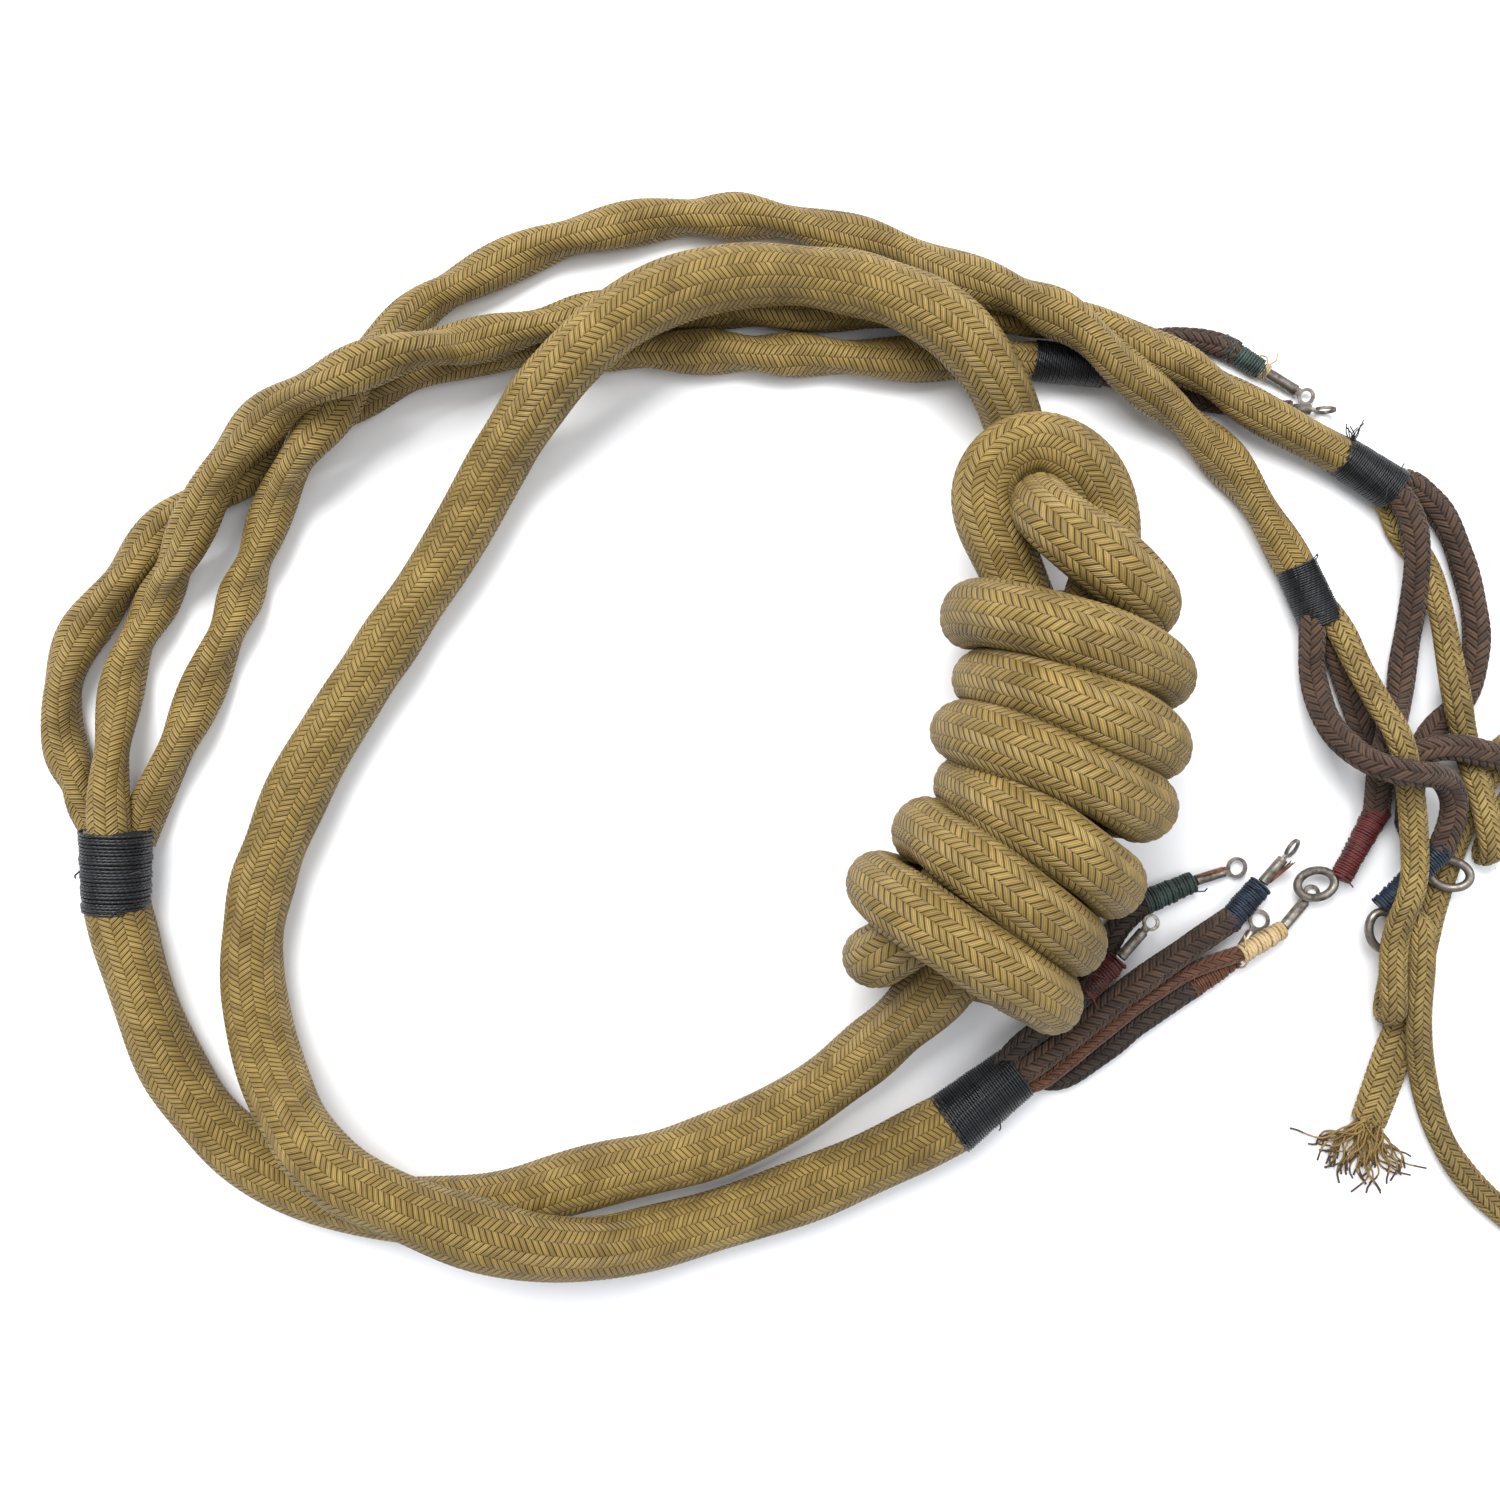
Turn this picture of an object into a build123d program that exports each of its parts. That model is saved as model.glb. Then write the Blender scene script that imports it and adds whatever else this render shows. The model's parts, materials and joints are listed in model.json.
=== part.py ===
"""Braided multi-way instrument cord set, tied up in a hank knot. Millimetres, +Z up, lying on z = 0.

The trunk comes out of a black tail whipping with five short leads, runs round to a wrapped knot and on to a
second whipping, where it breaks out into three thinner branches. Each branch ends in a whipping, two leads
with bound metal ends and, on two of them, a stay strap.
"""
import os
from math import pi, radians, tan

from build123d import *

# Driving dimensions
TRUNK_D = 14.0
TRUNK_CORE_D = 11.4
BRANCH_D = 8.6
BRANCH_CORE_D = 6.8
BRAID_GAP = 0.2
LEAD_D = 5.4
STRAP_D = 3.6
LOWER_GREEN_D = 5.0
LOWER_PLAIN_D = 3.6
TAIL_BROWN_D = 5.6
TAIL_BLACK_D = 5.2
TAIL_RED_D = 4.6
TAIL_CREAM_D = 3.2
TAIL_ORANGE_D = 4.6
CHAMFER = 0.4

EYE_WIRE_D = 1.9
EYE_LENGTH = 10.3
EYE_WIDTH = 8.0

LUG_OD = 4.8
LUG_ID = 3.4
SMALL_LUG_OD = 3.8
SMALL_LUG_ID = 2.4
LUG_THICKNESS = 0.6
LUG_TONGUE = 1.7
CRIMP_D = 2.4
CRIMP_GAP = 0.7

# The knot: oval turns round a core, from its upper end to its lower one
KNOT_HEIGHT = 27.5
KNOT_SECTIONS = [
    # centre x, centre y, tilt of the long axis in degrees, half width, half height
    (42.0, 29.5, -12.0, 22.0, 22.5),
    (41.5, 18.5, -19.0, 26.4, 26.4),
    (38.8, -6.5, -24.0, 26.0, 26.4),
    (28.5, -29.5, -33.0, 25.4, 26.4),
    (20.5, -42.0, -33.0, 27.2, 26.4),
    (16.5, -48.5, -33.0, 21.5, 22.0),
]

# Centre lines of the cords, chosen by hand
TRUNK_A_PATH = [
    (21.5, -85.5, 7), (-0.5, -97, 7), (-26.5, -106, 7), (-45.5, -111.5, 7), (-59.5, -111, 15.8),
    (-75, -107, 22.5), (-96, -99.5, 23), (-114, -90.5, 24), (-130.5, -71.5, 9.5), (-135.5, -43, 7),
    (-125, -13, 7), (-113.5, 6, 7), (-102, 23.5, 7), (-89, 42.5, 7.5), (-77.5, 63.5, 8.5),
    (-65, 77, 19.5), (-47.5, 92.5, 19.8), (-26, 100, 15.5), (-1.5, 98.5, 15.5), (17.5, 90, 19.5),
    (28.5, 79, 15.8), (34.6, 70.2, 8.8), (36, 62, 8),
]
TRUNK_B_PATH = [
    (14, -56, 19), (3.5, -68, 11.5), (-14, -83, 7), (-36.5, -93, 7), (-61, -98, 7), (-80.5, -104.5, 7),
    (-104, -105.5, 7), (-123, -100.5, 7), (-143.5, -87, 7), (-157.5, -63.5, 7), (-164, -37.5, 7),
]
KNOT_ENTRY_PATH = [
    (36, 62, 8), (37.1, 55.6, 7.4), (37.5, 47.5, 14), (40, 40, 26), (44, 33, 36), (49, 25, 40),
    (52, 17, 38),
]
KNOT_RING_PATH = [
    (34, 20, 24), (28.5, 36, 23.5), (24.5, 49.5, 24), (28.5, 58.5, 25), (37.5, 61.5, 25.5),
    (46.5, 56, 26), (51.5, 45, 25.5), (50, 33, 26), (45, 20, 28),
]
KNOT_EXIT_PATH = [(28, -34, 27), (23.5, -43, 25.5), (18.8, -50.5, 22.4), (14, -56, 19)]
BRANCH_PATHS = {
    "upper": [
        (-159.5, -18.5, 4.5), (-152.5, -4, 4.5), (-143, 17.5, 4.5), (-136, 35, 4.5), (-129, 52.5, 6.5),
        (-121, 62.5, 13.5), (-113.5, 70.5, 14), (-107.5, 81, 14), (-100, 90, 10.5), (-94.5, 98, 4.5),
        (-75.5, 108, 4.5), (-53.5, 115, 4.5), (-23.5, 117.5, 4.5), (7, 110, 4.5), (25, 99.6, 12),
        (37.5, 94, 15), (48.5, 87.5, 16), (59.5, 77.5, 14), (77, 68.5, 4.5), (90, 53.5, 4.5), (99, 37, 4.5),
    ],
    "middle": [
        (-163.5, -18.5, 13), (-165, -2.5, 7.5), (-163, 18, 4.5), (-155.5, 31, 4.5), (-146, 44.5, 11.5),
        (-138, 58.5, 14), (-126.5, 69.5, 17.5), (-114, 74, 23), (-105, 77.5, 23.5), (-95.5, 81.5, 21),
        (-87, 85, 13.5), (-73.5, 88, 13.5), (-59.5, 92, 12), (-47.5, 96.5, 4.5), (-21, 95.5, 4.5),
        (8.5, 95.5, 4.5), (33, 94, 4.5), (47, 93, 6.6), (55, 90.2, 9.6), (64, 85.5, 10.8), (77, 79, 9),
        (93, 69, 8.3), (109, 62.5, 5),
    ],
    "lower": [
        (-169.5, -18.5, 4.5), (-178, -2.5, 4.5), (-177, 18, 4.5), (-166.5, 31.5, 4.5), (-155.5, 47.5, 4.5),
        (-137.5, 57.5, 4.5), (-122.5, 70, 4.5), (-104, 79.5, 4.5), (-85.5, 86.5, 4.5), (-57.5, 86.5, 4.5),
        (-26, 86, 4.5), (7.5, 84.5, 4.5), (41, 84, 4.5),
    ],
}
LEAD_UPPER_NAVY_PATH = [
    (101.3, 22.2, 7), (102.5, 14, 3.5), (104, 2.5, 8), (108.5, -4.5, 14), (112.5, -7, 18),
    (118.5, -8.2, 19), (128, -8.5, 12.7), (133, -17, 8.5), (129, -25.5, 8),
]
LEAD_UPPER_OUT_PATH = [
    (106.5, 23, 3), (110.5, 13.5, 3), (114, 2, 3), (118.5, -5.5, 3), (123, -4, 8.5), (130, -2, 9.2),
    (138, -3.5, 9.2), (146, -6, 9), (155, -7.5, 7), (163, -7, 3),
]
LEAD_MIDDLE_RED_PATH = [
    (121.9, 53.1, 7), (124.5, 42.5, 8), (126, 31, 3), (123.5, 18, 3), (122, 7.5, 4), (118.5, 2.5, 8),
    (115.3, -4, 11.8), (117, -10.5, 5), (117.5, -17, 3),
]
LEAD_MIDDLE_DARK_PATH = [
    (127, 56, 3), (133.5, 49, 3), (139, 32.5, 3), (140.5, 19.5, 3), (137, 7.5, 3), (129.5, 1.5, 3),
    (125, -9, 3), (124.6, -19.5, 3),
]
LEAD_LOWER_GREEN_PATH = [
    (57.5, 86, 2.5), (64.2, 88.4, 2.5), (71.5, 90, 2.5), (78, 89.5, 2.5), (83.5, 88, 2.5),
]
LEAD_LOWER_PLAIN_PATH = [
    (57.5, 81, 2), (66.5, 79, 2), (78, 75.5, 2), (89, 74, 2), (98.5, 74, 2),
]
STAY_UPPER_PATH = [
    (107.5, 24, 7.5), (109.5, 17, 9.5), (113.5, 7.5, 12), (115.6, 0.5, 17.2), (119.5, -7, 13),
    (122.5, -19.5, 9.8), (120.8, -32.5, 14), (118.5, -43, 9.5), (118.2, -52.5, 8.8),
    (118.8, -62, 8.8), (119.6, -63, 2), (122, -52, 2), (124, -41, 2), (124.6, -40, 9),
    (125, -50.5, 8.6), (124.6, -62, 7.5), (127.5, -75, 2.5), (131.5, -90, 2), (139.5, -101.5, 2),
    (149.5, -110, 2), (156, -115, 2),
]
STAY_MIDDLE_PATH = [
    (121, 51.5, 2), (123, 46, 2), (129, 39.5, 2), (131, 28.5, 5), (131, 15.5, 9), (133, 5, 9),
    (137.5, -3, 3.5), (139, -14, 7.5), (141, -26, 8.6), (142.2, -27.5, 2), (145, -19, 2),
    (151, -11, 2), (154, -3.5, 2), (148, -0.5, 2), (143, -8, 2), (138, -18, 2), (133.5, -29.5, 2),
    (130, -41, 2), (125.5, -59, 2), (120.5, -75, 2), (116, -87, 2),
]
TAIL_PATHS = {
    "black": [(36, -71.5, 3), (43.5, -65.4, 3), (51, -58.5, 3), (56, -49, 3), (60, -41, 3), (66, -37, 3)],
    "red": [(34, -69.6, 8), (43, -63.2, 8.4), (51.5, -56, 8.4)],
    "brown": [
        (37, -74, 8.5), (46, -68, 7), (55, -60.5, 6.5), (66, -52.5, 6.5), (76, -46, 5.5), (84.5, -41, 3.5)
    ],
    "cream": [
        (40, -78, 6.5), (46.5, -73, 6), (57, -64.5, 5.5), (67, -57.5, 4), (76.5, -51.5, 4), (87, -48, 5.6),
    ],
    "orange": [(39.4, -76.3, 2.5), (46.5, -78, 2.5), (57, -70.5, 2.5), (67, -62.4, 2.5), (77, -56, 2.5)],
}
TAIL_DIAMETERS = {
    "black": TAIL_BLACK_D,
    "red": TAIL_RED_D,
    "brown": TAIL_BROWN_D,
    "cream": TAIL_CREAM_D,
    "orange": TAIL_ORANGE_D,
}

# Thread whippings and bindings: the cord that each one continues, end point, start diameter, end diameter
WHIPPINGS = {
    "tail_whipping": (TRUNK_A_PATH[::-1], (36, -74.6, 6), 12.0, 11.4),
    "breakout_whipping": (TRUNK_B_PATH, (-163.5, -20.6, 8.5), 14.0, 16.6),
    "branch_upper_whipping": (BRANCH_PATHS["upper"], (104.4, 24.9, 5), 8.8, 9.4),
    "branch_middle_whipping": (BRANCH_PATHS["middle"], (120.6, 55, 5), 8.8, 9.4),
    "branch_lower_whipping": (BRANCH_PATHS["lower"], (55.4, 82.6, 4.5), 8.8, 8.8),
}
BINDINGS = {
    "binding_upper_navy": (LEAD_UPPER_NAVY_PATH, (116.8, -37.8, 6.4), 5.4, 4.6),
    "binding_upper_out": (LEAD_UPPER_OUT_PATH, (171, -6.5, 2.8), 5.4, 4.6),
    "binding_middle_red": (LEAD_MIDDLE_RED_PATH, (109, -32, 3.5), 5.4, 4.4),
    "binding_middle_dark": (LEAD_MIDDLE_DARK_PATH, (127.5, -29, 2.8), 5.4, 3.8),
    "binding_lower_green": (LEAD_LOWER_GREEN_PATH, (91.6, 83, 2.2), 5.0, 4.0),
    "binding_tail_black": (TAIL_PATHS["black"], (76.4, -32.6, 2.6), 5.2, 4.6),
    "binding_tail_red": (TAIL_PATHS["red"], (58, -49.3, 8.2), 4.6, 4.4),
    "binding_tail_brown": (TAIL_PATHS["brown"], (91.4, -33.3, 3.2), 5.6, 5.2),
    "binding_tail_cream": (TAIL_PATHS["cream"], (96.4, -43.2, 3.2), 4.2, 3.8),
    "binding_tail_orange": (TAIL_PATHS["orange"], (86.4, -50, 2), 4.6, 3.6),
    "stay_upper_bound_end": (STAY_UPPER_PATH, (160.8, -118.5, 2.1), 3.8, 4.2),
}

# Round-wire eyes: near end of the loop, far end, side vector across the loop
EYES = {
    "eye_upper_navy": ((116.9, -38.6, 5.6), (118.5, -48, 5.2), (1, 0, 0)),
    "eye_upper_out": ((171, -6.5, 2.4), (181.2, -6.5, 1.6), (0, 1, 0)),
    "eye_middle_red": ((108.2, -32.2, 3.6), (99, -34, 3.6), (0, 1, 0)),
    "eye_middle_dark": ((128.4, -29.6, 3.5), (137.4, -31.8, 6.2), (0, 1, 0)),
}

# Ring lugs: crimp start, ring centre, side vector in the plane of the ring, outer and inner diameter
LUGS = {
    "lug_lower_green": ((91.6, 83, 2.2), (102.2, 76.9, 1.6), (0, 1, 0.25), SMALL_LUG_OD, SMALL_LUG_ID),
    "lug_lower_plain": ((98.5, 74, 2), (106, 73.6, 2.6), (0, 0, 1), LUG_OD, LUG_ID),
    "lug_tail_black": ((76.4, -32.6, 2.4), (86.6, -29.6, 1.4), (0, 1, 0.1), LUG_OD, LUG_ID),
    "lug_tail_red": ((58, -49.3, 8.2), (65.5, -41.3, 7), (-1, 1, 0), SMALL_LUG_OD, SMALL_LUG_ID),
    "lug_tail_brown": ((91.4, -33.3, 3.2), (98.5, -25.1, 3), (-0.486, 0.421, 0.766), LUG_OD, LUG_ID),
    "lug_tail_cream": ((96.4, -43.2, 2.6), (103.8, -35.4, 0.8), (-1, 1, 0), SMALL_LUG_OD, SMALL_LUG_ID),
    "lug_tail_orange": ((86.4, -50, 1.6), (91.8, -41.5, 1.0), (-1, 1, 0), LUG_OD, LUG_ID),
}

# Bare copper strands that stick out beside two of the crimps: start, end
COPPER_STRANDS = {
    "strands_tail_black": ((76.8, -30.4, 3.4), (83, -28.4, 3.6)),
    "strands_tail_brown": ((95.6, -32, 3.2), (99, -28.6, 3.6)),
}
STRAND_BUNDLE_D = 1.6

FRAY_OUTLINE = [
    (114, -88.6), (107.5, -82), (106.8, -90), (109, -97), (114, -101), (120, -101.5), (125, -96),
    (123, -91), (117.6, -89.6),
]
FRAY_BOTTOM = 0.3
FRAY_HEIGHT = 2.6

TIE_POINT = (92.6, 82.4, 2.1)
TIE_WIRE_D = 0.9
TIE_D = 3.6


def save(piece, name):
    """Label one finished piece and write it."""
    piece.part.label = name
    export_step(piece.part, f"parts/{name}.step")


def bend_radii(points):
    """Radius at each inner point: 0.45 of the shorter run over the tangent of half the turn."""
    places = [Vector(*point) for point in points]
    runs = [b - a for a, b in zip(places, places[1:])]
    radii = []
    for before, after in zip(runs, runs[1:]):
        turn = radians(before.get_angle(after))
        radii.append(0.45 * min(before.length, after.length) / tan(turn / 2))
    return radii


def cord_tube(points, outer, inner=0.0):
    """Sweep a round or hollow section along straight runs joined by tangent arcs."""
    radii = bend_radii(points)
    with BuildPart() as tube:
        with BuildLine():
            centre_line = FilletPolyline(*points, radius=radii)
        section_plane = Plane(origin=centre_line @ 0, z_dir=centre_line % 0)
        with BuildSketch(section_plane):
            Circle(outer / 2)
            if inner:
                Circle(inner / 2, mode=Mode.SUBTRACT)
        sweep(path=centre_line)
    expected = pi / 4 * (outer**2 - inner**2) * centre_line.length
    ratio = tube.part.volume / expected
    print(f"  length {centre_line.length:.0f} mm, volume ratio {ratio:.3f}, radii",
          " ".join(f"{radius:.0f}" for radius in radii))
    return tube


def save_cord(name, points, outer, inner=0.0):
    """Print a cord's radii, then write its tube."""
    print(name)
    save(cord_tube(points, outer, inner), name)


def thread_barrel(cord_path, end, start_d, end_d):
    """A wound barrel of thread: a chamfered cone from the end face of a cord to the end point."""
    before, start = (Vector(*point) for point in cord_path[-2:])
    axis = Vector(*end) - start
    with BuildPart() as barrel:
        with BuildSketch(Plane(origin=start, z_dir=start - before)):
            Circle(start_d / 2)
        with BuildSketch(Plane(origin=end, z_dir=axis)):
            Circle(end_d / 2)
        loft()
        chamfer(barrel.edges().filter_by(GeomType.CIRCLE), CHAMFER)
    return barrel


def strand_bundle(start, end):
    """Loose copper strands, as one thin rod."""
    axis = Vector(*end) - Vector(*start)
    with BuildPart() as bundle:
        with BuildSketch(Plane(origin=start, z_dir=axis)):
            Circle(STRAND_BUNDLE_D / 2)
        extrude(amount=axis.length)
    return bundle


def wire_eye(near, far, side):
    """A closed oval loop of round wire, from its near end to its far end."""
    long_axis = Vector(*far) - Vector(*near)
    middle = (Vector(*near) + Vector(*far)) / 2
    loop_plane = Plane(origin=middle, x_dir=long_axis, z_dir=long_axis.cross(Vector(*side)))
    with BuildPart() as eye:
        with BuildLine(loop_plane):
            loop = EllipticalCenterArc(
                (0, 0), (EYE_LENGTH - EYE_WIRE_D) / 2, (EYE_WIDTH - EYE_WIRE_D) / 2, 0, arc_size=360
            )
        with BuildSketch(Plane(origin=loop @ 0, z_dir=loop % 0)):
            Circle(EYE_WIRE_D / 2)
        sweep(path=loop)
    return eye


def ring_lug(crimp_start, ring_centre, side, outer, inner):
    """A crimped ring lug: a round barrel, a flat tongue and a flat ring, as one solid."""
    axis = Vector(*ring_centre) - Vector(*crimp_start)
    ring_plane = Plane(origin=ring_centre, x_dir=axis * -1, z_dir=axis.cross(Vector(*side)))
    crimp_base = Vector(*crimp_start) + axis.normalized() * CRIMP_GAP
    crimp_length = axis.length - CRIMP_GAP - outer / 2 - LUG_TONGUE / 2
    with BuildPart() as lug:
        with BuildSketch(ring_plane):
            Circle(outer / 2)
            with Locations((outer / 2, 0)):
                Rectangle(LUG_TONGUE * 2, LUG_TONGUE)
            Circle(inner / 2, mode=Mode.SUBTRACT)
        extrude(amount=LUG_THICKNESS / 2, both=True)
        with BuildSketch(Plane(origin=crimp_base, z_dir=axis)):
            Circle(CRIMP_D / 2)
        extrude(amount=crimp_length)
    return lug


def knot_solid():
    """The wrapped knot's outer shape, with the ring of cord above it and the cord's way in and out."""
    with BuildPart() as knot:
        for x, y, tilt, half_width, half_height in KNOT_SECTIONS:
            across = Vector(1, 0, 0).rotate(Axis.Z, tilt)
            section = Plane(origin=(x, y, KNOT_HEIGHT), x_dir=across, z_dir=across.cross(Vector(0, 0, 1)))
            with BuildSketch(section):
                Ellipse(half_width, half_height)
        loft()
        for points in (KNOT_ENTRY_PATH, KNOT_RING_PATH, KNOT_EXIT_PATH):
            with BuildLine():
                centre_line = FilletPolyline(*points, radius=bend_radii(points))
            with BuildSketch(Plane(origin=centre_line @ 0, z_dir=centre_line % 0)):
                Circle(TRUNK_D / 2)
            sweep(path=centre_line)
    return knot


def frayed_fan():
    """The outer shape of the stay strap's frayed threads."""
    with BuildPart() as fan:
        with BuildSketch(Plane.XY.offset(FRAY_BOTTOM)):
            with BuildLine():
                Polyline(*FRAY_OUTLINE, close=True)
            make_face()
        extrude(amount=FRAY_HEIGHT)
        fillet(fan.edges().filter_by(Axis.Z), 0.6)
    return fan


def tie_ring():
    """The cream thread tied round the neck of the green-bound lug."""
    axis = Vector(*LUGS["lug_lower_green"][1]) - Vector(*LUGS["lug_lower_green"][0])
    with BuildPart() as tie:
        with BuildLine(Plane(origin=TIE_POINT, z_dir=axis)):
            loop = CenterArc((0, 0), TIE_D / 2, 0, 360)
        with BuildSketch(Plane(origin=loop @ 0, z_dir=loop % 0)):
            Circle(TIE_WIRE_D / 2)
        sweep(path=loop)
    return tie


os.makedirs("parts", exist_ok=True)

# Trunk: a braided sleeve round a core of insulated conductors, on both sides of the knot
for run, path in (("a", TRUNK_A_PATH), ("b", TRUNK_B_PATH)):
    save_cord(f"trunk_run_{run}", path, TRUNK_D, TRUNK_CORE_D + BRAID_GAP)
    save_cord(f"trunk_core_{run}", path, TRUNK_CORE_D)
save(knot_solid(), "trunk_knot")

# Branches: the same, thinner
for position, path in BRANCH_PATHS.items():
    save_cord(f"branch_{position}", path, BRANCH_D, BRANCH_CORE_D + BRAID_GAP)
    save_cord(f"branch_core_{position}", path, BRANCH_CORE_D)

# Leads and stay straps on the branches
save_cord("lead_upper_navy", LEAD_UPPER_NAVY_PATH, LEAD_D)
save_cord("lead_upper_out", LEAD_UPPER_OUT_PATH, LEAD_D)
save_cord("lead_middle_red", LEAD_MIDDLE_RED_PATH, LEAD_D)
save_cord("lead_middle_dark", LEAD_MIDDLE_DARK_PATH, LEAD_D)
save_cord("lead_lower_green", LEAD_LOWER_GREEN_PATH, LOWER_GREEN_D)
save_cord("lead_lower_plain", LEAD_LOWER_PLAIN_PATH, LOWER_PLAIN_D)
save_cord("stay_strap_upper", STAY_UPPER_PATH, STRAP_D)
save_cord("stay_strap_middle", STAY_MIDDLE_PATH, STRAP_D)

# Five short leads at the tail of the trunk
for colour, path in TAIL_PATHS.items():
    save_cord(f"tail_lead_{colour}", path, TAIL_DIAMETERS[colour])

# Thread whippings and bindings
for name, (cord_path, end, start_d, end_d) in (WHIPPINGS | BINDINGS).items():
    save(thread_barrel(cord_path, end, start_d, end_d), name)

# Metal ends
for name, (near, far, side) in EYES.items():
    save(wire_eye(near, far, side), name)
for name, (crimp_start, ring_centre, side, outer, inner) in LUGS.items():
    save(ring_lug(crimp_start, ring_centre, side, outer, inner), name)
for name, (start, end) in COPPER_STRANDS.items():
    save(strand_bundle(start, end), name)

# Loose ends
save(frayed_fan(), "stay_middle_frayed_end")
save(tie_ring(), "tie_lower_cream")
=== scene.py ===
import json
import math
import random

import bpy
import numpy as np
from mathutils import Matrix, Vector

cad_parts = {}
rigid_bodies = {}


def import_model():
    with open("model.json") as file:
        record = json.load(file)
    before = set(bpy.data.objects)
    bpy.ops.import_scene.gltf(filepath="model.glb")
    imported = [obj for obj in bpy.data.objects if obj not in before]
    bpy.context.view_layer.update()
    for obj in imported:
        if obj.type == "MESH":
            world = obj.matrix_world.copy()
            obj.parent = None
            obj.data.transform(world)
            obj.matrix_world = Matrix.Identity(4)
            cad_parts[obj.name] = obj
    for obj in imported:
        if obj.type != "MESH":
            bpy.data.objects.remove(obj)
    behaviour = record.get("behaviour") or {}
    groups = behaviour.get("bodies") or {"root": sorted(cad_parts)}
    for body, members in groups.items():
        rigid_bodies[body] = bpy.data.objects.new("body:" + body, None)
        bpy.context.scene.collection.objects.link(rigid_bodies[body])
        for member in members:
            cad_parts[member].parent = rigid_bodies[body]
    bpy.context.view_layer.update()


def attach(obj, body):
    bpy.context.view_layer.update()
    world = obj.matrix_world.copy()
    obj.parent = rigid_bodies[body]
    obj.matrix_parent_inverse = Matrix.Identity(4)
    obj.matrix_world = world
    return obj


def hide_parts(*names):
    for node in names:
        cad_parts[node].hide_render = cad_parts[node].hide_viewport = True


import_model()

rng = random.Random(11)
noise = np.random.default_rng(7)
TAU = 2 * math.pi
SLANT = 1.25        # rows that a float of the herringbone climbs across its column
HALF_ROW = 0.25     # neighbouring columns are set this far up and down

# ---------------------------------------------------------------- camera
camera = bpy.data.objects.new("camera", bpy.data.cameras.new("camera"))
bpy.context.scene.collection.objects.link(camera)
camera.data.sensor_width = 36
camera.data.lens = 31.68
camera.data.clip_start = 0.01
camera.data.clip_end = 10
camera.location = (-0.0235, -0.003, 0.300)
camera.rotation_euler = (0, 0, 0)
bpy.context.scene.camera = camera

# ---------------------------------------------------------------- routes, in millimetres
TRUNK_A = [(21.5, -85.5, 7), (-0.5, -97, 7), (-26.5, -106, 7), (-45.5, -111.5, 7), (-59.5, -111, 15.8),
           (-75, -107, 22.5), (-96, -99.5, 23), (-114, -90.5, 24), (-130.5, -71.5, 9.5), (-135.5, -43, 7),
           (-125, -13, 7), (-113.5, 6, 7), (-102, 23.5, 7), (-89, 42.5, 7.5), (-77.5, 63.5, 8.5),
           (-65, 77, 19.5), (-47.5, 92.5, 19.8), (-26, 100, 15.5), (-1.5, 98.5, 15.5), (17.5, 90, 19.5),
           (28.5, 79, 15.8), (34.6, 70.2, 8.8), (36, 62, 8)]
TRUNK_B = [(14, -56, 19), (3.5, -68, 11.5), (-14, -83, 7), (-36.5, -93, 7), (-61, -98, 7),
           (-80.5, -104.5, 7), (-104, -105.5, 7), (-123, -100.5, 7), (-143.5, -87, 7), (-157.5, -63.5, 7),
           (-164, -37.5, 7)]
KNOT_ENTRY = [(37.5, 55.6, 8), (38, 49.5, 14), (37.5, 48.5, 24), (35.5, 45.5, 34), (38.5, 40.5, 40.5),
              (48, 32.5, 43), (57.5, 26.6, 35)]
KNOT_RING = [(36, 22, 24), (30.8, 36, 23.5), (24.5, 49.5, 24), (28.5, 58.5, 25), (37.5, 61.5, 25.5),
             (46.5, 56, 26), (51.5, 45, 25.5), (50, 33, 26), (45, 20, 28)]
KNOT_CORE_UP = [(3.5, -44.5, 31), (10, -39, 35.5), (19, -30, 30), (27, -18, 23), (31, -5, 20.5),
                (33.5, 8, 21)]
KNOT_CORE_DOWN = [(41, 6, 34), (37, -10, 34.5), (31, -24, 32)]
KNOT_EXIT = [(26, -36, 27), (22, -43.5, 25.5), (18.3, -50, 22.4)]
TURN_LEFT = [(22.5, 25.1), (25.6, 11.7), (20.9, 0.9), (21.3, -10.8), (12.6, -19.7), (2.9, -30.9),
             (2.3, -46.6)]
TURN_RIGHT = [(58.0, 25.5), (60.5, 11.9), (59.1, -2.6), (56.4, -15.2), (50.2, -30.5), (42.4, -42.0),
              (37.8, -53.8)]
COIL_Z = 27.5
COIL_HALF_HEIGHT = 20.3
HALF_TURN_POINTS = 6
PULLED_IN = 0.9665  # a spline with 12 control points a turn runs at this share of their radius
BRANCH_UPPER = [(-160.6, -23.5, 5.6), (-159.5, -18.5, 4.5), (-152.5, -4, 4.5), (-143, 17.5, 4.5),
                (-136, 35, 4.5), (-129, 52.5, 6.5), (-121, 62.5, 13.5), (-113.5, 70.5, 14),
                (-107.5, 81, 14), (-100, 90, 10.5), (-94.5, 98, 4.5), (-75.5, 108, 4.5), (-53.5, 115, 4.5),
                (-23.5, 117.5, 4.5), (7, 110, 4.5), (25, 99.6, 12), (37.5, 94, 15), (48.5, 87.5, 16),
                (59.5, 77.5, 14), (77, 68.5, 4.5), (90, 53.5, 4.5), (99, 37, 4.5)]
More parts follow.
